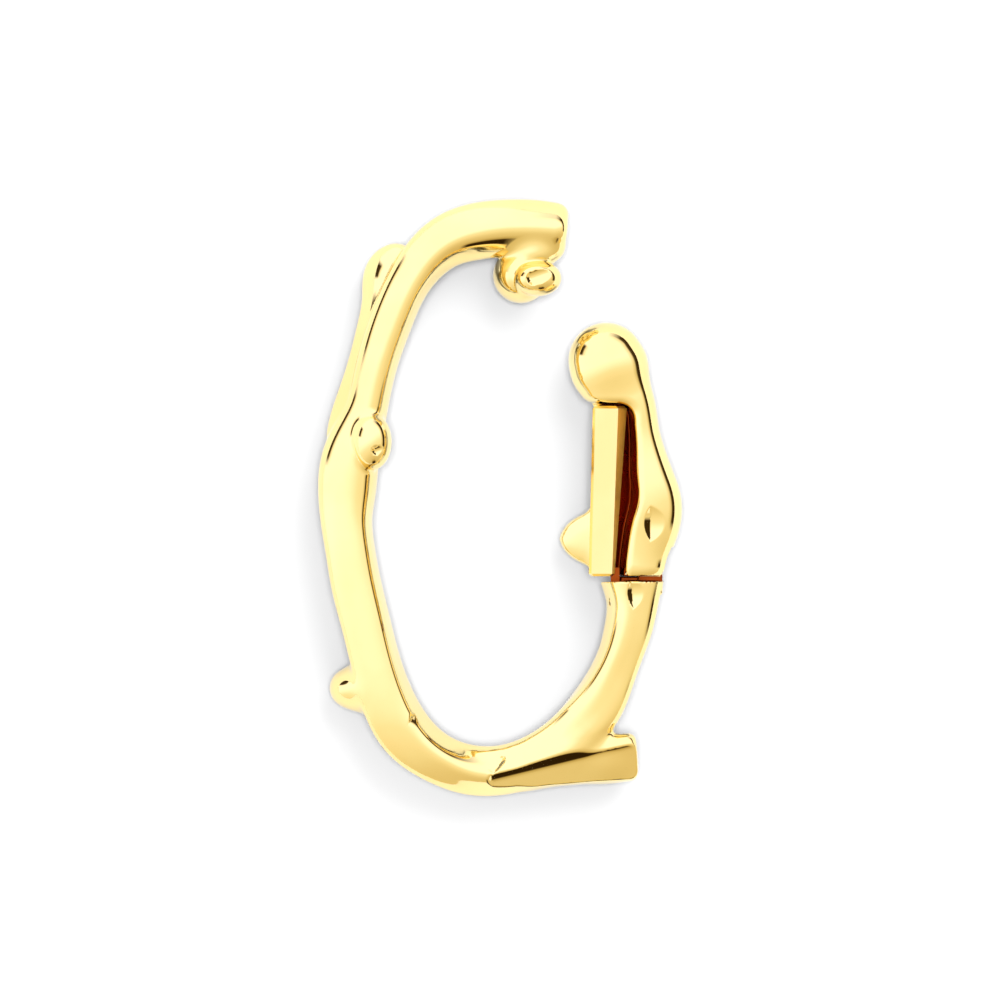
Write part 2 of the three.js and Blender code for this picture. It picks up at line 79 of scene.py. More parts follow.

# The seam between the seat and the arm
SEAM_GAP = 0.35
SEAM_SHADE_DEPTH = 0.35  # how far below the arm's front the painted shade in the seam starts
LIP_GAP = 0.03
LIP_DEPTH = 1.1
LIP_DROP = 0.1
RECESS_EDGE = 0.05  # how near to a recess's walls a face counts as lying on them

# The hinge
PIVOT_REACH = 1.26
PIVOT_RISE = 1.4
TONGUE_RADIUS = 0.85
TONGUE_THICKNESS = 1.4
TONGUE_CLEARANCE = 0.12
ROOT = BRANCH / 4  # how deep the tongue and the lip go into the seat
PIN_CLEARANCE = 0.06
SOCKET = (1.2, 0.6, 1.2, 1.6)  # inset from the seat's middle, width, depth and length
SOCKET_CLEARANCE = 0.07

# How softly forms flow into each other
RIDGE_FLOW = 0.14
STUB_FLOW = 0.7
HEAD_FLOW = 1.1
ARM_BUD_FLOW = 0.6
TONGUE_FLOW = 0.1

# How soft cut edges are
FLAT_EDGE = 0.1
STEP_EDGE = 0.08
NICK_EDGE = 0.04
SEAT_EDGE = 0.08
TONGUE_EDGE = 0.16
CHANNEL_CORNER = 1.3
CHANNEL_FLOOR_EDGE = 0.2
CHANNEL_EDGE = 0.5
HINGE_EDGE = 0.1

# How softly branches end
SOFT_END = 1.2
BRANCH_START = 0.9
SEAT_END = 0.1
STUB_END = 0.7
ARM_BUD_END = 1.6

# Meshing
LOOP_STEP = 0.125
ARM_STEP = 0.085
MARGIN = 0.5
COARSE = 4  # fine steps in a coarse one
BAND = 1.7  # how near the surface the fine steps start, in coarse ones
SLOPE_STEP = 0.01
PLACE_STEP = 0.01  # step of the search for a front surface
FAR = 9.0  # what a twig's field says beyond TWIG_ROOM
TWIG_ROOM = 1.0
BLOCK = 60000  # points worked out at a time
TRIES = 4  # places tried for each row of a spine
NEAREST_ROUNDS = 3
LEAST_RISE = 0.25  # share of the squared slope
LONGEST_MOVE = 1.0
SURFACE_ROUNDS = 2
LEAST_STEEP = 0.05  # a field's squared slope counts as at least this
NO_LENGTH = 1e-9  # keeps a division from zero

# The scene
PHOTO_PIXELS = 1000
PIXEL = 0.07
SENSOR = 36.0
CAMERA_DISTANCE = 700.0
FLOOR_HALF = 900.0
FLOOR_DROP = 0.05
FLOOR_TONES = (0.93, 0.95)
FLOOR_ROUGHNESS = 0.8
FLOOR_SHINE = 0.1
SUN_POWER = 1.9
SUN_SPREAD = 14  # degrees
SUN_HEIGHT = 0.5  # metres
KEY_PLACE = (0.16, 0.24, 0.34)  # metres
KEY_SIZE = 0.30  # metres
KEY_POWER = 0.7

# The golds: colour, deeper colour, least and most roughness, and strength of the polishing waves
GOLDS = {
    "cast_gold": ((1.0, 0.81, 0.37), (0.98, 0.77, 0.33), (0.03, 0.07), 0.06),
    "bar_gold": ((1.0, 0.81, 0.37), (0.98, 0.77, 0.33), (0.04, 0.09), 0.04),
    # The bar's right bevel: rougher, and tinted a deeper tan as painted shade
    "bevel_painted_shade": ((1.0, 0.76, 0.30), (0.96, 0.70, 0.25), (0.40, 0.52), 0.05),
    # Painted shade: a dark brown gold for the seam and the slot beside the bar
    "recess_painted_shade": ((0.36, 0.07, 0.010), (0.24, 0.04, 0.005), (0.25, 0.4), 0.3),
}
# Scale in waves to the metre, and detail, of the noise in colour, gloss, polishing waves and the floor
DRIFT = (180.0, 3.0)
POLISH = (900.0, 4.0)
WAVES = (320.0, 1.0)
GRAIN = (60.0, 2.0)
# The part of the noise over which the colour and the gloss change
DRIFT_SPAN = (0.35, 0.6)
POLISH_SPAN = (0.3, 0.7)
WAVE_HEIGHT = 0.05

# Stations of the twig from the free end of the upper branch to the seat of the clip arm. x and y are
# shares of LOOP_WIDTH and LOOP_LENGTH from the lower left corner. z, wide and deep are shares of BRANCH,
# z from the twig's middle height. wide and deep stay the section's extent across and in height however
# it is rolled, in degrees. A higher power makes a squarer section.
LOOP = (
    # x, y, z, wide, deep, roll, power
    (0.686, 0.9460,  0.00, 0.96, 0.98,  -45, 3.0),
    (0.611, 0.9500,  0.01, 1.05, 1.04,  -45, 3.2),
    (0.514, 0.9500,  0.02, 1.08, 1.06,  -44, 3.2),
    (0.431, 0.9440,  0.04, 1.08, 1.06,  -40, 3.2),
    (0.350, 0.9270,  0.06, 1.00, 1.04,  -34, 3.1),
    (0.281, 0.8900,  0.08, 0.89, 1.00,  -27, 3.0),
    (0.236, 0.8480,  0.09, 0.82, 0.98,  -22, 3.0),
    (0.200, 0.7980,  0.08, 0.81, 0.98,  -20, 3.0),
    (0.169, 0.7450,  0.06, 0.79, 0.98,  -20, 2.8),
    (0.147, 0.6950,  0.03, 0.77, 0.98,  -20, 2.6),
    (0.128, 0.6480,  0.00, 0.82, 1.00,  -19, 2.5),
    (0.103, 0.6050, -0.02, 0.98, 1.04,  -18, 2.4),
    (0.083, 0.5620, -0.03, 1.10, 1.08,  -17, 2.5),
    (0.075, 0.5130, -0.02, 1.10, 1.06,  -15, 2.7),
    (0.073, 0.4670,  0.00, 0.99, 1.00,  -13, 2.9),
    (0.083, 0.4170,  0.02, 0.94, 0.98,  -13, 3.0),
    (0.100, 0.3580,  0.03, 0.95, 0.98,  -14, 3.2),
    (0.125, 0.2970,  0.03, 0.94, 1.00,  -15, 3.4),
    (0.150, 0.2370,  0.02, 0.94, 1.02,  -16, 3.6),
    (0.183, 0.1720,  0.00, 1.00, 1.06,  -18, 3.8),
    (0.242, 0.1070, -0.02, 1.04, 1.08,  -24, 3.9),
    (0.331, 0.0650, -0.03, 0.95, 1.04,  -34, 3.9),
    (0.419, 0.0470, -0.04, 0.95, 1.00,  -46, 3.6),
    (0.508, 0.0470, -0.04, 0.95, 1.00,  -58, 3.3),
    (0.603, 0.0650, -0.03, 0.98, 1.02,  -72, 3.2),
    (0.697, 0.1050, -0.01, 0.98, 1.04,  -84, 3.2),
    (0.767, 0.1530,  0.02, 1.00, 1.02,  -97, 3.2),
    (0.808, 0.2000,  0.03, 0.89, 0.98, -105, 3.2),
    (0.836, 0.2430,  0.04, 0.85, 0.96, -110, 3.1),
    (0.856, 0.2830,  0.03, 0.91, 0.98, -112, 3.0),
    (0.867, 0.3230,  0.01, 0.98, 1.04, -112, 2.9),
    (0.867, 0.3617,  0.00, 1.20, 1.12, -110, 2.8),
)

# The ridge down the back of the upper left bend, with the bud at its top. Columns as in LOOP.
BACK_RIDGE = (
    (0.262, 0.905, -0.10, 0.62, 0.70, -30, 2.6),
    (0.225, 0.890, -0.22, 0.90, 0.80, -45, 3.0),
    (0.194, 0.866, -0.30, 1.00, 0.90, -52, 3.2),
    (0.180, 0.833, -0.25, 0.88, 0.80, -52, 3.2),
    (0.162, 0.783, -0.18, 0.82, 0.70, -52, 3.2),
    (0.138, 0.725, -0.15, 0.82, 0.70, -52, 3.2),
    (0.107, 0.667, -0.12, 0.82, 0.70, -52, 3.2),
    (0.076, 0.615, -0.10, 0.76, 0.70, -52, 3.0),
    (0.056, 0.575, -0.08, 0.60, 0.60, -52, 2.6),
)

# The cut stub at the lower right. Columns as in LOOP.
END_STUB = (
    (0.560, 0.050, -0.06, 0.78, 0.90, 10, 3.4),
    (0.660, 0.054, -0.06, 0.80, 1.00, 10, 3.6),
    (0.760, 0.062, -0.06, 0.86, 1.04, 10, 3.8),
    (0.830, 0.067, -0.06, 0.91, 1.06, 10, 4.0),
    (0.881, 0.069, -0.06, 0.92, 1.04, 10, 4.0),
)

# Flats cut along the lower branch: both ends of a flat's front edge in LOOP's shares, which side of the
# edge it lies on, its tilt from level in degrees, the step down to it at its edge and its width in
# millimetres, and how fast it ends before its start and past its end. The step's wall tilts by STEP_TILT.
FLATS = (
    # start, end, side, tilt, step, width, fade in, fade out
    ((0.474, 0.0385, 0.43), (0.866, 0.0960, 0.37), 1, 26, 0.15, 9.0, 0.5, 0.0),
    ((0.252, 0.1300, 0.475), (0.476, 0.0385, 0.44), -1, 24, 0.12, 1.4, 1.0, 1.2),
)
STEP_TILT = 42

# Buds as ellipsoids: x and y are shares of LOOP_WIDTH and LOOP_LENGTH; z, from the twig's middle height,
# the half sizes along X, Y and Z and the width of the flow into the twig are shares of BRANCH.
LOOP_BUDS = (
    # x, y, z, half x, half y, half z, flow
    (0.558, 0.872, -0.30, 0.53, 0.53, 0.67, 0.12),
    (0.600, 0.910, -0.05, 0.42, 0.32, 0.46, 0.20),
    (0.604, 0.866,  0.22, 0.45, 0.34, 0.42, 0.05),
    (0.144, 0.594,  0.36, 0.38, 0.54, 0.44, 0.10),
    (0.200, 0.874, -0.50, 0.40, 0.44, 0.47, 0.25),
    (0.135, 0.185, -0.25, 0.45, 0.50, 0.45, 0.25),
    (0.090, 0.183, -0.42, 0.44, 0.40, 0.55, 0.20),
    (0.790, 0.062, -0.45, 0.50, 0.36, 0.52, 0.25),
)

# Nicks in the front of the loop: x and y of the middle in LOOP's shares, the direction its steep wall
# faces in degrees from X, and half its length and its depth in millimetres. The steep wall tilts by
# STEP_TILT, the other by NICK_TILT.
LOOP_NICKS = (
    # x, y, facing, length, depth
    (0.583, 0.8640, 20, 0.60, 0.36),
    (0.156, 0.5760, 20, 0.36, 0.22),
    (0.867, 0.3370,  5, 1.00, 0.30),
)
NICK_TILT = 4

# The nick in the front of the clip arm, with x and y in ARM's shares.
ARM_NICKS = ((0.187, 0.209, 0, 1.30, 0.36),)

# Stations of the clip arm from head to foot. x is a share of ARM_WIDTH from the middle of the seat, y of
# ARM_LENGTH above it, z and deep of ARM_DEPTH, wide of ARM_WIDTH.
ARM = (
    # x, y, z, wide, deep, roll, power
    (-0.240, 0.830, 0.00, 0.72, 1.02, 0, 2.1),
    (-0.156, 0.748, 0.00, 0.69, 1.00, 0, 2.2),
    (-0.094, 0.663, 0.00, 0.69, 0.98, 0, 2.3),
    (-0.073, 0.570, 0.00, 0.73, 0.98, 0, 2.4),
    (-0.042, 0.469, 0.01, 0.82, 1.02, 0, 2.4),
    (0.000, 0.368, 0.02, 0.93, 1.08, 0, 2.4),
    (0.026, 0.291, 0.02, 0.99, 1.10, 0, 2.4),
    (0.010, 0.205, 0.01, 0.95, 1.06, 0, 2.4),
    (-0.031, 0.112, 0.00, 0.85, 1.00, 0, 2.4),
    (-0.052, 0.000, 0.00, 0.79, 0.98, 0, 2.4),
)

# The bud on the back of the arm, beside the bar. Columns as in ARM.
ARM_BUD = (
    (-0.200, 0.163, -0.30, 0.72, 0.46, 0, 2.0),
    (-0.440, 0.163, -0.36, 0.58, 0.50, 0, 2.0),
    (-0.600, 0.163, -0.38, 0.44, 0.48, 0, 2.0),
    (-0.772, 0.163, -0.38, 0.34, 0.42, 0, 2.0),
)

# The outer side of the slot: shares of the slot's height, and of SLOT_WIDTH from the bar's outer side.
SLOT_WALL = (
    (-0.10, 1.00),
    (0.02, 1.00),
    (0.18, 1.10),
    (0.35, 1.40),
    (0.47, 1.75),
    (0.60, 1.50),
    (0.75, 1.30),
    (0.88, 1.00),
)

# The sky that the metal sees. Its colour runs from the upper left to the lower right.
SKY_LEVEL = 1.6
SKY_WHITE = 0.30  # the level that everything else sees
SKY_TAN = (0.35, -0.94, 0.0)  # the direction of its tan side
SKY_UP = (0.0, 0.0, 1.0)
SKY_SIDE = (
    (0.0, (0.88, 0.87, 1.0)),
    (0.40, (0.86, 0.85, 0.98)),
    (0.50, (0.78, 0.76, 0.80)),
    (0.60, (0.68, 0.64, 0.56)),
    (0.76, (0.60, 0.55, 0.42)),
    (0.88, (0.52, 0.45, 0.30)),
    (1.0, (0.44, 0.36, 0.20)),
)
# The dark gap above the floor, from the horizon (0.5) towards overhead (1).
SKY_GAP = (
    (0.50, (0.03, 0.02, 0.01)),
    (0.60, (0.05, 0.03, 0.01)),
    (0.645, (0.75, 0.70, 0.55)),
    (0.73, (1.0, 1.0, 1.0)),
)
# Where the gap is closed (1) and open (0), by share of a turn round the horizon: from the photo's left
# through its foot, its right and its top.
SKY_ROUND = (
    (0.0, 1),
    (0.255, 1),
    (0.268, 0),
    (0.305, 0),
    (0.318, 1),
    (0.448, 1),
    (0.465, 0),
    (0.66, 0),
    (0.74, 1),
    (0.89, 1),
    (0.905, 0),
    (0.96, 0),
    (0.972, 1),
)


def millimetres(node):
    """A node's box in millimetres."""
    low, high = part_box(node)
    return np.array(low) / MM, np.array(high) / MM


PIN_LOW, PIN_HIGH = millimetres("hinge_pin")
PIVOT = (PIN_LOW + PIN_HIGH) / 2
PIN_RADIUS = (PIN_HIGH[0] - PIN_LOW[0]) / 2
PIN_HALF = (PIN_HIGH[2] - PIN_LOW[2]) / 2
SEAT = PIVOT - np.array((PIVOT_REACH, PIVOT_RISE, 0.0))
CORNER = SEAT - np.array((LOOP[-1][0] * LOOP_WIDTH, LOOP[-1][1] * LOOP_LENGTH, 0.0))
BAR_BACK = millimetres("clip_bar")[0][2]
SLOT_HEIGHT = SEAM_GAP + BAR_LENGTH + BAR_CLEARANCE


def smooth_min(a, b, flow):
    """The union of two fields, with a fillet where both are nearer than flow."""
    near = np.maximum(flow - np.abs(a - b), 0.0) / flow
    return np.minimum(a, b) - near * near * flow / 4


def smooth_max(a, b, flow):
    return -smooth_min(-a, -b, flow)


class Spine:
    """A natural cubic spline through rows whose first three columns are a place."""

    def __init__(self, rows):
        self.rows = np.array(rows, float)
        steps = np.linalg.norm(np.diff(self.rows[:, :3], axis=0), axis=1)
        self.knots = np.concatenate([[0.0], np.cumsum(steps)])
        self.length = self.knots[-1]
        self.bend = self.second_slopes(steps)

    def second_slopes(self, steps):
        count = len(self.rows)
        matrix = np.eye(count)
        right = np.zeros_like(self.rows)
        for i in range(1, count - 1):
            before, after = steps[i - 1], steps[i]
            matrix[i, i - 1 : i + 2] = before, 2 * (before + after), after
            slope_after = (self.rows[i + 1] - self.rows[i]) / after
            slope_before = (self.rows[i] - self.rows[i - 1]) / before
            right[i] = 6 * (slope_after - slope_before)
        return np.linalg.solve(matrix, right)

    def at(self, s, columns=None):
        """Rows at the lengths s, with their first and second slopes, straight on past both ends."""
        rows, bend = self.rows[:, :columns], self.bend[:, :columns]
        inside = np.clip(s, 0.0, self.length)
        i = np.clip(np.searchsorted(self.knots, inside, side="right") - 1, 0, len(rows) - 2)
        step = (self.knots[i + 1] - self.knots[i])[:, None]
        b = (inside - self.knots[i])[:, None] / step
        a = 1 - b
        low, high = rows[i], rows[i + 1]
        bend_low, bend_high = bend[i], bend[i + 1]
        value = a * low + b * high + ((a**3 - a) * bend_low + (b**3 - b) * bend_high) * step**2 / 6
        slope = (high - low) / step + ((3 * b**2 - 1) * bend_high - (3 * a**2 - 1) * bend_low) * step / 6
        second = a * bend_low + b * bend_high
        beyond = (s - inside)[:, None]
        value[:, :3] += beyond * slope[:, :3]
        second = np.where(beyond == 0.0, second, 0.0)
        return value, slope, second

    def nearest(self, points):
        """The length along the spine of the place nearest to each point."""
        tries = np.linspace(0.0, self.length, TRIES * len(self.rows))
        places = self.at(tries)[0][:, :3]
        far = (places**2).sum(axis=1) - 2 * points @ places.T
        s = tries[np.argmin(far, axis=1)]
        for _ in range(NEAREST_ROUNDS):
            value, slope, second = self.at(s, 3)
            off = value[:, :3] - points
            steep = (slope[:, :3] ** 2).sum(axis=1)
            rise = steep + (off * second[:, :3]).sum(axis=1)
            move = (off * slope[:, :3]).sum(axis=1) / np.maximum(rise, LEAST_RISE * steep)
            s = s - np.clip(move, -LONGEST_MOVE, LONGEST_MOVE)
        return s


def extent(cos, sin, power):
    """How far a rolled unit section reaches across."""
    other = power / (power - 1)
    return (np.abs(cos) ** other + np.abs(sin) ** other) ** (1 / other)


def tube(rows, start=SOFT_END, end=SOFT_END):
    """The field of a twig. start and end say how softly its two ends are cut."""
    spine = Spine(rows)
    reach = spine.rows[:, 3:5].max() + TWIG_ROOM
    low, high = spine.rows[:, :3].min(axis=0) - reach, spine.rows[:, :3].max(axis=0) + reach

    def field(points):
        distance = np.full(len(points), FAR)
        near = ((points > low) & (points < high)).all(axis=1)
        distance[near] = swept(points[near])
        return distance

    def swept(points):
        s = spine.nearest(points)
        value, slope, _ = spine.at(s)
        along = slope[:, :3] / np.linalg.norm(slope[:, :3], axis=1)[:, None]
        across = np.stack([along[:, 1], -along[:, 0], np.zeros(len(s))], axis=1)
        across /= np.linalg.norm(across, axis=1)[:, None]
        front = np.cross(across, along)
        off = points - value[:, :3]
        u = (off * across).sum(axis=1)
        v = (off * front).sum(axis=1)
        wide, deep, roll, power = value[:, 3] / 2, value[:, 4] / 2, np.radians(value[:, 5]), value[:, 6]
        cos, sin = np.cos(roll), np.sin(roll)
        u, v = u / wide, v / deep
        ring = (np.abs(u * cos + v * sin) ** power + np.abs(v * cos - u * sin) ** power) ** (1 / power)
        ring *= extent(cos, sin, power)
        distance = (ring - 1) * np.minimum(wide, deep)
        distance = smooth_max(distance, -s, start)
        return smooth_max(distance, s - spine.length, end)

    return field


def front_at(field, x, y):
    """The height of a field's front surface at a place."""
    heights = np.arange(SEAT[2] + ARM_DEPTH, SEAT[2] - ARM_DEPTH, -PLACE_STEP)
    points = np.column_stack((np.full(len(heights), x), np.full(len(heights), y), heights))
    return heights[np.argmax(field(points) < 0)]


def nicked(field, nicks):
    """A field with leaf-shaped nicks in its front. One wall of a nick is steep and one gentle."""
    cuts = []
    for x, y, facing, length, depth in nicks:
        level = np.array((math.cos(math.radians(facing)), math.sin(math.radians(facing)), 0.0))
        cuts.append((np.array((x, y, front_at(field, x, y) - depth)), level, length, depth))

    def less_nicks(points):
        distance = field(points)
        for bottom, level, length, depth in cuts:
            off = points - bottom
            off[:, 2] -= depth * ((off[:, 1] * level[0] - off[:, 0] * level[1]) / length) ** 2
            nick = np.minimum(off @ leaning(level, STEP_TILT), off @ leaning(-level, NICK_TILT))
            distance = smooth_max(distance, nick, NICK_EDGE)
        return distance

    return less_nicks


def ellipsoid(centre, half):
    half = np.array(half)

    def field(points):
        return (np.linalg.norm((points - centre) / half, axis=1) - 1) * half.min()

    return field


def placed(rows, start, spans, breadth, height):
    """A table's shares as millimetres."""
    return [
        (
            start[0] + x * spans[0],
            start[1] + y * spans[1],
            start[2] + z * height,
            wide * breadth,
            deep * height,
            roll,
            power,
        )
        for x, y, z, wide, deep, roll, power in rows
    ]


def on_loop(rows):
    return placed(rows, CORNER, (LOOP_WIDTH, LOOP_LENGTH), BRANCH, BRANCH)


def on_arm(rows):
    return placed(rows, SEAT, (ARM_WIDTH, ARM_LENGTH), ARM_WIDTH, ARM_DEPTH)


def loop_place(x, y, z):
    """A place in LOOP's shares as millimetres."""
    return CORNER + np.array((x * LOOP_WIDTH, y * LOOP_LENGTH, z * BRANCH))


def tongue_field(points):
    """The hinge's tongue: a plate with a round end about the pivot."""
    x, y, z = (points - PIVOT).T
    plate = np.maximum(np.abs(x) - TONGUE_RADIUS, np.maximum(y, -PIVOT_RISE - ROOT - y))
    outline = np.minimum(plate, np.hypot(x, y) - TONGUE_RADIUS)
    plate = smooth_max(outline, np.abs(z) - TONGUE_THICKNESS / 2, TONGUE_EDGE)
    return np.maximum(plate, PIN_RADIUS + PIN_CLEARANCE - np.hypot(x, y))


def lip_field(points):
    """The low lip on the seat, from the tenon to the tongue."""
    x, y, z = (points - SEAT).T
    sides = np.maximum(-SOCKET[0] - x, x - PIVOT_REACH + TONGUE_RADIUS / 2)
    level = np.maximum(-ROOT - y, y - SEAM_GAP + LIP_GAP)
    return np.maximum(np.maximum(sides, level), np.maximum(-LIP_DROP - LIP_DEPTH - z, z + LIP_DROP))


def leaning(down, tilt):
    """A direction that leans from straight up towards a level direction, by a tilt in degrees."""
    return down * math.sin(math.radians(tilt)) + np.array((0.0, 0.0, math.cos(math.radians(tilt))))


def flat_field(start, end, side, tilt, step, width, fade_in, fade_out):
    """What a flat leaves of the branch."""
    start, end = loop_place(*start), loop_place(*end)
    length = np.linalg.norm(end - start)
    along = (end - start) / length
    down = side * np.array((along[1], -along[0], 0.0))
    flat, wall = leaning(down, tilt), leaning(down, STEP_TILT)

    def field(points):
        off = points - start
        place = off @ along
        fade = fade_in * np.maximum(-place, 0.0) + fade_out * np.maximum(place - length, 0.0)
        fade += np.maximum(off @ down - width, 0.0)
        return smooth_min(off @ flat + step, off @ wall, STEP_EDGE) - fade

    return field


def socket_field(points):
    """The socket in the seat that takes the bar's tenon."""
    inset, width, depth, length = SOCKET
    x, y, z = (points - SEAT).T
    sides = np.maximum(
        np.abs(x + inset) - width / 2 - SOCKET_CLEARANCE,
        np.abs(z) - depth / 2 - SOCKET_CLEARANCE,
    )
    return np.maximum(sides, -length - SOCKET_CLEARANCE - y)


def loop_field():
    """The cast loop with its ridge, stub, flats, buds and nicks."""
    twig = tube(on_loop(LOOP), start=BRANCH_START, end=SEAT_END)
    ridge = tube(on_loop(BACK_RIDGE))
    stub = tube(on_loop(END_STUB), end=STUB_END)
    flats = [flat_field(*row) for row in FLATS]
    buds = [
        (ellipsoid(loop_place(x, y, z), (half_x * BRANCH, half_y * BRANCH, half_z * BRANCH)), flow * BRANCH)
        for x, y, z, half_x, half_y, half_z, flow in LOOP_BUDS
    ]

    def field(points):
        distance = smooth_min(twig(points), ridge(points), RIDGE_FLOW)
        distance = smooth_min(distance, stub(points), STUB_FLOW)
        for flat in flats:
            distance = smooth_max(distance, flat(points), FLAT_EDGE)
        for bud, flow in buds:
            distance = smooth_min(distance, bud(points), flow)
        near_seat = np.abs(points[:, 0] - SEAT[0]) < BRANCH
        rise = points[:, 1] - SEAT[1]
        above = np.where(near_seat & (rise > -BRANCH), rise, -BRANCH)
        distance = smooth_max(distance, above, SEAT_EDGE)
        distance = smooth_min(distance, tongue_field(points), TONGUE_FLOW)
        distance = np.minimum(distance, lip_field(points))
        return smooth_max(distance, -socket_field(points), SEAT_EDGE)

    return nicked(field, [(*loop_place(x, y, 0.0)[:2], *shape) for x, y, *shape in LOOP_NICKS])


def bar_outer(up):
    """The bar's outer side at a share of its height."""
    width = BAR_FOOT_WIDTH + up * (BAR_TOP_WIDTH - BAR_FOOT_WIDTH)
    return SEAT[0] - BAR_REACH + up * BAR_LEAN + width


def channel_field():
    """The room for the bar: open at the front, the inner side and the foot."""
    sides = [(up, bar_outer(up) + gap * SLOT_WIDTH) for up, gap in SLOT_WALL]
    wall = Spine([(SEAT[1] + up * SLOT_HEIGHT, 0.0, 0.0, side) for up, side in sides])
    start = wall.rows[0, 0]

    def field(points):
        side = wall.at(np.clip(points[:, 1] - start, 0.0, wall.length))[0][:, 3]
        side -= SLOT_LEAN * np.clip(SEAT[2] + ARM_DEPTH / 2 - points[:, 2], 0.0, ARM_DEPTH)
        opening = smooth_max(points[:, 0] - side, points[:, 1] - SEAT[1] - SLOT_HEIGHT, CHANNEL_CORNER)
        beside = bar_outer((points[:, 1] - SEAT[1] - SEAM_GAP) / BAR_LENGTH)
        dip = SLOT_DIP * np.clip((points[:, 0] - beside) / SLOT_WIDTH, 0.0, 1.0)
        return smooth_max(opening, BAR_BACK - BAR_CLEARANCE - dip - points[:, 2], CHANNEL_FLOOR_EDGE)

    return field


def hinge_cut_field(points):
    """What the hinge takes out of the arm: the tongue's slot, the bore and the foot's outer corner."""
    x, y, z = (points - PIVOT).T
    reach = TONGUE_RADIUS + TONGUE_CLEARANCE
    level = np.abs(z) - TONGUE_THICKNESS / 2 - TONGUE_CLEARANCE
    slot = np.maximum(-reach - x, np.maximum(y - reach, level))
    radius = np.hypot(x, y)
    bore = np.maximum(radius - PIN_RADIUS - PIN_CLEARANCE, np.abs(z) - PIN_HALF - PIN_CLEARANCE)
    corner = np.maximum(np.maximum(-x, y), PIVOT_RISE - PIN_CLEARANCE - radius)
    return np.minimum(np.minimum(slot, bore), corner)


def arm_field():
    """The clip arm: stem, head and bud, less the channel, the hinge and the nick."""
    stem = tube(on_arm(ARM))
    bud = tube(on_arm(ARM_BUD), end=ARM_BUD_END)
    head_middle = SEAT + np.array((-HEAD_INSET * ARM_WIDTH, ARM_LENGTH - HEAD_SIZE / 2, 0.0))
    head = ellipsoid(head_middle, (HEAD_SIZE / 2, HEAD_SIZE / 2, HEAD_HEIGHT / 2))

    def field(points):
        distance = smooth_min(stem(points), head(points), HEAD_FLOW)
        distance = smooth_min(distance, bud(points), ARM_BUD_FLOW)
        distance = smooth_max(distance, -CHANNEL(points), CHANNEL_EDGE)
        distance = smooth_max(distance, SEAT[1] + SEAM_GAP - points[:, 1], SEAT_EDGE)
        return smooth_max(distance, -hinge_cut_field(points), HINGE_EDGE)

    nicks = [(SEAT[0] + x * ARM_WIDTH, SEAT[1] + y * ARM_LENGTH, *shape) for x, y, *shape in ARM_NICKS]
    return nicked(field, nicks)


def in_blocks(field, points):
    return np.concatenate([field(points[i : i + BLOCK]) for i in range(0, len(points), BLOCK)])


def sampled(field, low, high, step):
    """The field's values on a grid of fine steps. Far from the surface they are rough ones."""
    cells = np.ceil((high - low) / (step * COARSE)).astype(int)
    coarse_axes = [low[k] + step * COARSE * np.arange(cells[k] + 1) for k in range(3)]
    corners = np.stack(np.meshgrid(*coarse_axes, indexing="ij"), axis=-1)
    rough = in_blocks(field, corners.reshape(-1, 3)).reshape(corners.shape[:3])
    touching = np.abs(rough) < step * COARSE * BAND
    near = np.zeros(cells, bool)
    for i in (0, 1):
        for j in (0, 1):
            for k in (0, 1):
                near |= touching[i : cells[0] + i, j : cells[1] + j, k : cells[2] + k]
    wanted, values = near, rough[:-1, :-1, :-1]
    for axis in range(3):
        wanted = np.repeat(wanted, COARSE, axis=axis)
        values = np.repeat(values, COARSE, axis=axis)
    values = values.copy()
    index = np.argwhere(wanted)
    values[wanted] = in_blocks(field, low + index * step)
    return values


def surface_net(values, low, step):
    """Points and quads of the surface where the values change sign, one point in each crossed cell."""
    inside = values < 0
    shape = np.array(values.shape) - 1
    count = np.zeros(shape, int)
    offsets = [(i, j, k) for i in (0, 1) for j in (0, 1) for k in (0, 1)]
    for i, j, k in offsets:
        count += inside[i : shape[0] + i, j : shape[1] + j, k : shape[2] + k]
    crossed = (count > 0) & (count < 8)
    cells = np.argwhere(crossed)
    number = np.full(shape, -1)
    number[crossed] = np.arange(len(cells))
    total = np.zeros((len(cells), 3))
    hits = np.zeros(len(cells))
    for a in offsets:
        for axis in range(3):
            if a[axis]:
                continue
            b = tuple(1 if k == axis else a[k] for k in range(3))
            at_a = values[tuple((cells + a).T)]
            at_b = values[tuple((cells + b).T)]
            change = (at_a < 0) != (at_b < 0)
            share = np.where(change, at_a / np.where(change, at_a - at_b, 1.0), 0.0)
            place = np.array(a, float) + share[:, None] * (np.array(b) - np.array(a))
            total += np.where(change[:, None], place, 0.0)
            hits += change
    points = low + (cells + total / hits[:, None]) * step
    quads = []
    for axis in range(3):
        u, v = (axis + 1) % 3, (axis + 2) % 3
        ahead = np.roll(inside, -1, axis=axis)
        edge = inside != ahead
        for k, at in ((axis, -1), (u, 0), (v, 0), (u, -1), (v, -1)):
            cut = [slice(None)] * 3
            cut[k] = at
            edge[tuple(cut)] = False
        at = np.argwhere(edge)
        back_u, back_v = np.eye(3, dtype=int)[u], np.eye(3, dtype=int)[v]
        turns = ((0, 0), (back_u, 0), (back_u, back_v), (0, back_v))
        ring = np.stack([number[tuple((at - du - dv).T)] for du, dv in turns], axis=1)
        outward = inside[edge]
        quads.append(np.where(outward[:, None], ring, ring[:, ::-1]))
    return points, np.concatenate(quads)


def slope_of(field, points):
    """The field's slope, from its values at the corners of a small tetrahedron."""
    slope = np.zeros_like(points)
    for corner in ((1, 1, 1), (1, -1, -1), (-1, 1, -1), (-1, -1, 1)):
        corner = np.array(corner, float)
        slope += in_blocks(field, points + SLOPE_STEP * corner)[:, None] * corner
    return slope / (4 * SLOPE_STEP)


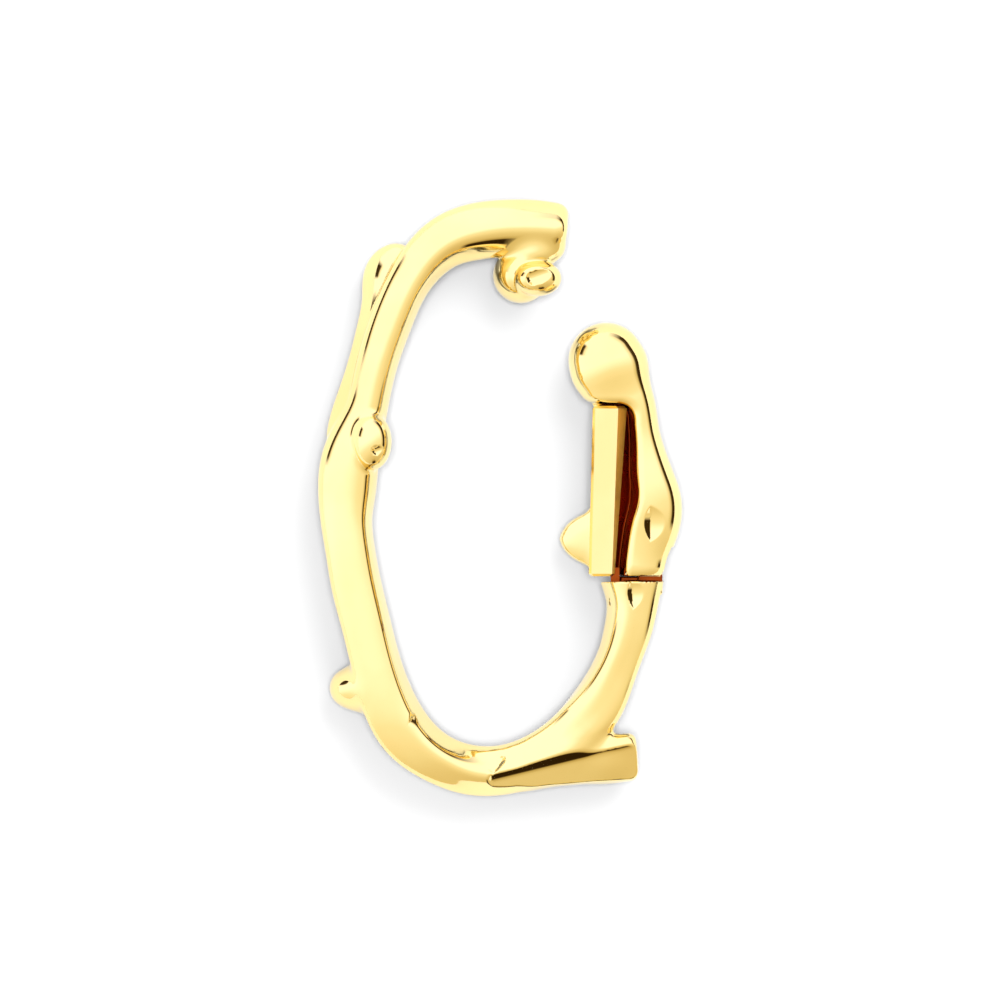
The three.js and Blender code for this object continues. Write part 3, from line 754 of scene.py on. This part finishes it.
def in_seam_shade(points):
    """Which points lie in the seam between the seat and the arm's foot, where the casting takes painted
    shade.
    """
    x, y, z = (points - SEAT).T
    between = (y > -RECESS_EDGE) & (y < SEAM_GAP + RECESS_EDGE)
    return between & (np.abs(x) < BRANCH) & (z < ARM_DEPTH / 2 - SEAM_SHADE_DEPTH)


def in_slot_shade(points):
    """Which points lie on the floor or the walls of the slot beside the bar, where the casting takes
    painted shade.
    """
    beside = bar_outer((points[:, 1] - SEAT[1] - SEAM_GAP) / BAR_LENGTH)
    deep = (points[:, 2] < BAR_BACK + SLOT_SHADE_HEIGHT) & (points[:, 1] > SEAT[1])
    return deep & (np.abs(CHANNEL(points)) < RECESS_EDGE) & (points[:, 0] > beside - BAR_FOOT_WIDTH)


def casting(name, field, node, step):
    """A polished casting in place of a CAD node. Its recesses take the second material, a dark painted
    shade.
    """
    low, high = millimetres(node)
    low, high = low - MARGIN, high + MARGIN
    points, quads = surface_net(sampled(field, low, high, step), low, step)
    slope = slope_of(field, points)
    steep = np.maximum((slope**2).sum(axis=1), LEAST_STEEP)
    for _ in range(SURFACE_ROUNDS):
        move = -(in_blocks(field, points) / steep)[:, None] * slope
        length = np.linalg.norm(move, axis=1)[:, None]
        points = points + move * np.minimum(1.0, step / np.maximum(length, NO_LENGTH))
    slope = slope_of(field, points)
    normals = slope / np.maximum(np.linalg.norm(slope, axis=1), NO_LENGTH)[:, None]
    mesh = bpy.data.meshes.new(name)
    mesh.from_pydata((points * MM).tolist(), [], quads.tolist())
    mesh.materials.append(CAST)
    mesh.materials.append(RECESS_SHADE)
    middles = points[quads].mean(axis=1)
    # Faces in the seam and in the slot beside the bar take the dark painted shade.
    mesh.polygons.foreach_set("material_index", (in_seam_shade(middles) | in_slot_shade(middles)).astype(int))
    mesh.polygons.foreach_set("use_smooth", np.ones(len(quads), bool))
    mesh.update()
    mesh.normals_split_custom_set_from_vertices(normals.tolist())
    piece = bpy.data.objects.new(name, mesh)
    bpy.context.collection.objects.link(piece)
    return piece


def dress_bar(bar):
    """The bar's outer bevel is rougher and tinted a deeper tan, painted shade on its faces towards the
    right and the front. Its tab and tenon, down in the seam and the socket, take the dark painted shade.
    """
    shade_index = len(bar.data.materials)
    satin_shade_index = shade_index + 1
    bar.data.materials.append(RECESS_SHADE)
    bar.data.materials.append(SATIN_SHADE)
    inner_edge = BAR_FOOT_WIDTH - BAR_REACH + RECESS_EDGE
    tab_top = SEAM_GAP + TAB_HEIGHT + RECESS_EDGE
    for face in bar.data.polygons:
        x, y, _ = np.array(bar.matrix_world @ face.center) / MM - SEAT
        # Faces down in the seam take the dark painted shade; bevel faces towards the right and the front
        # take the tan painted shade.
        if y < SEAM_GAP - RECESS_EDGE or (x > inner_edge and y < tab_top):
            face.material_index = shade_index
        elif min(face.normal.x, face.normal.z) > BEVEL_LEAN:
            face.material_index = satin_shade_index


def node_tree(owner):
    owner.use_nodes = True
    tree = owner.node_tree
    tree.nodes.clear()
    return tree


def noise(tree, place, scale, detail):
    """A cloudy pattern that is fixed to the piece."""
    cloud = tree.nodes.new("ShaderNodeTexNoise")
    cloud.inputs["Scale"].default_value = scale
    cloud.inputs["Detail"].default_value = detail
    tree.links.new(place.outputs["Object"], cloud.inputs["Vector"])
    return cloud.outputs["Fac"]


def ramp_of(nodes, stops):
    """A colour ramp through (position, colour) stops."""
    ramp = nodes.new("ShaderNodeValToRGB")
    elements = ramp.color_ramp.elements
    elements[0].position, elements[1].position = stops[0][0], stops[-1][0]
    elements[0].color, elements[1].color = (*stops[0][1], 1.0), (*stops[-1][1], 1.0)
    for at, colour in stops[1:-1]:
        elements.new(at).color = (*colour, 1.0)
    return ramp


def greys(stops):
    """(position, level) stops as grey ones."""
    return [(at, (level, level, level)) for at, level in stops]


def share_of(tree, value, low, high, to_low=0.0, to_high=1.0):
    """A value from low to high, taken to another range."""
    share = tree.nodes.new("ShaderNodeMapRange")
    share.inputs["From Min"].default_value = low
    share.inputs["From Max"].default_value = high
    share.inputs["To Min"].default_value = to_low
    share.inputs["To Max"].default_value = to_high
    tree.links.new(value, share.inputs["Value"])
    return share.outputs["Result"]


def gold(name, colour, deeper, roughness, bump):
    """Gold plating: its colour and gloss drift a little, and hand polishing has left soft waves."""
    material = bpy.data.materials.new(name)
    tree = node_tree(material)
    nodes, links = tree.nodes, tree.links
    place = nodes.new("ShaderNodeTexCoord")
    shader = nodes.new("ShaderNodeBsdfPrincipled")
    shader.inputs["Metallic"].default_value = 1.0
    tint = ramp_of(nodes, list(zip(DRIFT_SPAN, (deeper, colour))))
    links.new(noise(tree, place, *DRIFT), tint.inputs["Fac"])
    links.new(tint.outputs["Color"], shader.inputs["Base Color"])
    gloss = share_of(tree, noise(tree, place, *POLISH), *POLISH_SPAN, *roughness)
    links.new(gloss, shader.inputs["Roughness"])
    relief = nodes.new("ShaderNodeBump")
    relief.inputs["Strength"].default_value = bump
    relief.inputs["Distance"].default_value = WAVE_HEIGHT * MM
    links.new(noise(tree, place, *WAVES), relief.inputs["Height"])
    links.new(relief.outputs["Normal"], shader.inputs["Normal"])
    out = nodes.new("ShaderNodeOutputMaterial")
    links.new(shader.outputs["BSDF"], out.inputs["Surface"])
    return material


def paper():
    """The pale matt floor."""
    material = bpy.data.materials.new("pale_floor")
    tree = node_tree(material)
    nodes, links = tree.nodes, tree.links
    place = nodes.new("ShaderNodeTexCoord")
    tone = ramp_of(nodes, greys(zip((0.0, 1.0), FLOOR_TONES)))
    links.new(noise(tree, place, *GRAIN), tone.inputs["Fac"])
    shader = nodes.new("ShaderNodeBsdfPrincipled")
    shader.inputs["Roughness"].default_value = FLOOR_ROUGHNESS
    shader.inputs["Specular IOR Level"].default_value = FLOOR_SHINE
    links.new(tone.outputs["Color"], shader.inputs["Base Color"])
    out = nodes.new("ShaderNodeOutputMaterial")
    links.new(shader.outputs["BSDF"], out.inputs["Surface"])
    return material


def floor():
    half = FLOOR_HALF * MM
    corners = [(-half, -half, 0), (half, -half, 0), (half, half, 0), (-half, half, 0)]
    mesh = bpy.data.meshes.new("floor")
    mesh.from_pydata(corners, [], [(0, 1, 2, 3)])
    piece = bpy.data.objects.new("floor", mesh)
    piece.location.z = -FLOOR_DROP * MM
    bpy.context.collection.objects.link(piece)
    mesh.materials.append(paper())


def toward(tree, place, direction):
    """How far a direction of the sky lies towards another, from 0 to 1."""
    lean = tree.nodes.new("ShaderNodeVectorMath")
    lean.operation = "DOT_PRODUCT"
    lean.inputs[1].default_value = direction
    tree.links.new(place.outputs["Generated"], lean.inputs[0])
    return share_of(tree, lean.outputs["Value"], -1.0, 1.0)


def round_horizon(tree, place):
    """The compass direction of the sky, from 0 to 1, starting and ending at the left."""
    parts = tree.nodes.new("ShaderNodeSeparateXYZ")
    tree.links.new(place.outputs["Generated"], parts.inputs["Vector"])
    turn = tree.nodes.new("ShaderNodeMath")
    turn.operation = "ARCTAN2"
    tree.links.new(parts.outputs["Y"], turn.inputs[0])
    tree.links.new(parts.outputs["X"], turn.inputs[1])
    return share_of(tree, turn.outputs["Value"], -math.pi, math.pi)


def studio():
    """A white tent. The metal sees it bright to the upper left and tan to the lower right, with a dark
    gap above the floor on some sides. The floor and the camera see it plain white."""
    world = bpy.data.worlds.new("studio")
    bpy.context.scene.world = world
    tree = node_tree(world)
    nodes, links = tree.nodes, tree.links
    place = nodes.new("ShaderNodeTexCoord")
    side = ramp_of(nodes, SKY_SIDE)
    links.new(toward(tree, place, SKY_TAN), side.inputs["Fac"])
    gap = ramp_of(nodes, SKY_GAP)
    links.new(toward(tree, place, SKY_UP), gap.inputs["Fac"])
    shut = ramp_of(nodes, greys(SKY_ROUND))
    links.new(round_horizon(tree, place), shut.inputs["Fac"])
    closed = nodes.new("ShaderNodeMixRGB")
    closed.inputs["Color2"].default_value = (1.0, 1.0, 1.0, 1.0)
    links.new(shut.outputs["Color"], closed.inputs["Fac"])
    links.new(gap.outputs["Color"], closed.inputs["Color1"])
    sky = nodes.new("ShaderNodeMixRGB")
    sky.blend_type = "MULTIPLY"
    sky.inputs["Fac"].default_value = 1.0
    links.new(side.outputs["Color"], sky.inputs["Color1"])
    links.new(closed.outputs["Color"], sky.inputs["Color2"])
    ray = nodes.new("ShaderNodeLightPath")
    seen = nodes.new("ShaderNodeMixRGB")
    seen.inputs["Color1"].default_value = (SKY_WHITE, SKY_WHITE, SKY_WHITE, 1.0)
    links.new(ray.outputs["Is Glossy Ray"], seen.inputs["Fac"])
    links.new(sky.outputs["Color"], seen.inputs["Color2"])
    back = nodes.new("ShaderNodeBackground")
    back.inputs["Strength"].default_value = SKY_LEVEL
    links.new(seen.outputs["Color"], back.inputs["Color"])
    out = nodes.new("ShaderNodeOutputWorld")
    links.new(back.outputs["Background"], out.inputs["Surface"])


def light_from_above():
    """Even light on the floor, straight down past the cuff."""
    light = bpy.data.lights.new("top_light", "SUN")
    light.energy = SUN_POWER
    light.angle = math.radians(SUN_SPREAD)
    piece = bpy.data.objects.new("top_light", light)
    piece.location = (0.0, 0.0, SUN_HEIGHT)
    piece.visible_glossy = False
    bpy.context.collection.objects.link(piece)


def soft_light():
    """A round lamp over the far right of the cuff, aimed at its middle."""
    light = bpy.data.lights.new("key_light", "AREA")
    light.shape = "DISK"
    light.size = KEY_SIZE
    light.energy = KEY_POWER
    piece = bpy.data.objects.new("key_light", light)
    piece.location = KEY_PLACE
    x, y, z = KEY_PLACE
    piece.rotation_euler = (0.0, math.acos(z / math.hypot(x, y, z)), math.atan2(y, x))
    piece.visible_glossy = False
    bpy.context.collection.objects.link(piece)


def camera():
    """Straight above the cuff, the photograph's width across the frame."""
    data = bpy.data.cameras.new("camera")
    data.sensor_width = SENSOR
    data.lens = SENSOR * CAMERA_DISTANCE / (PHOTO_PIXELS * PIXEL)
    piece = bpy.data.objects.new("camera", data)
    piece.location = (0.0, -PIXEL * MM, (CAMERA_DISTANCE + SEAT[2]) * MM)
    bpy.context.collection.objects.link(piece)
    bpy.context.scene.camera = piece


camera()
floor()
studio()
light_from_above()
soft_light()
bpy.context.scene.view_settings.view_transform = "Standard"
bpy.context.scene.cycles.caustics_reflective = False

CAST, FLAT, SATIN_SHADE, RECESS_SHADE = (gold(name, *look) for name, look in GOLDS.items())
CHANNEL = channel_field()

loop = casting("cast_loop", loop_field(), "loop_frame", LOOP_STEP)
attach(loop, "frame")
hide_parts("loop_frame")

arm = casting("cast_arm", arm_field(), "clip_arm", ARM_STEP)
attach(arm, "clip")
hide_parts("clip_arm")

for node in ("clip_bar", "hinge_pin"):
    for slot in bpy.data.objects[node].material_slots:
        slot.material = FLAT

dress_bar(bpy.data.objects["clip_bar"])
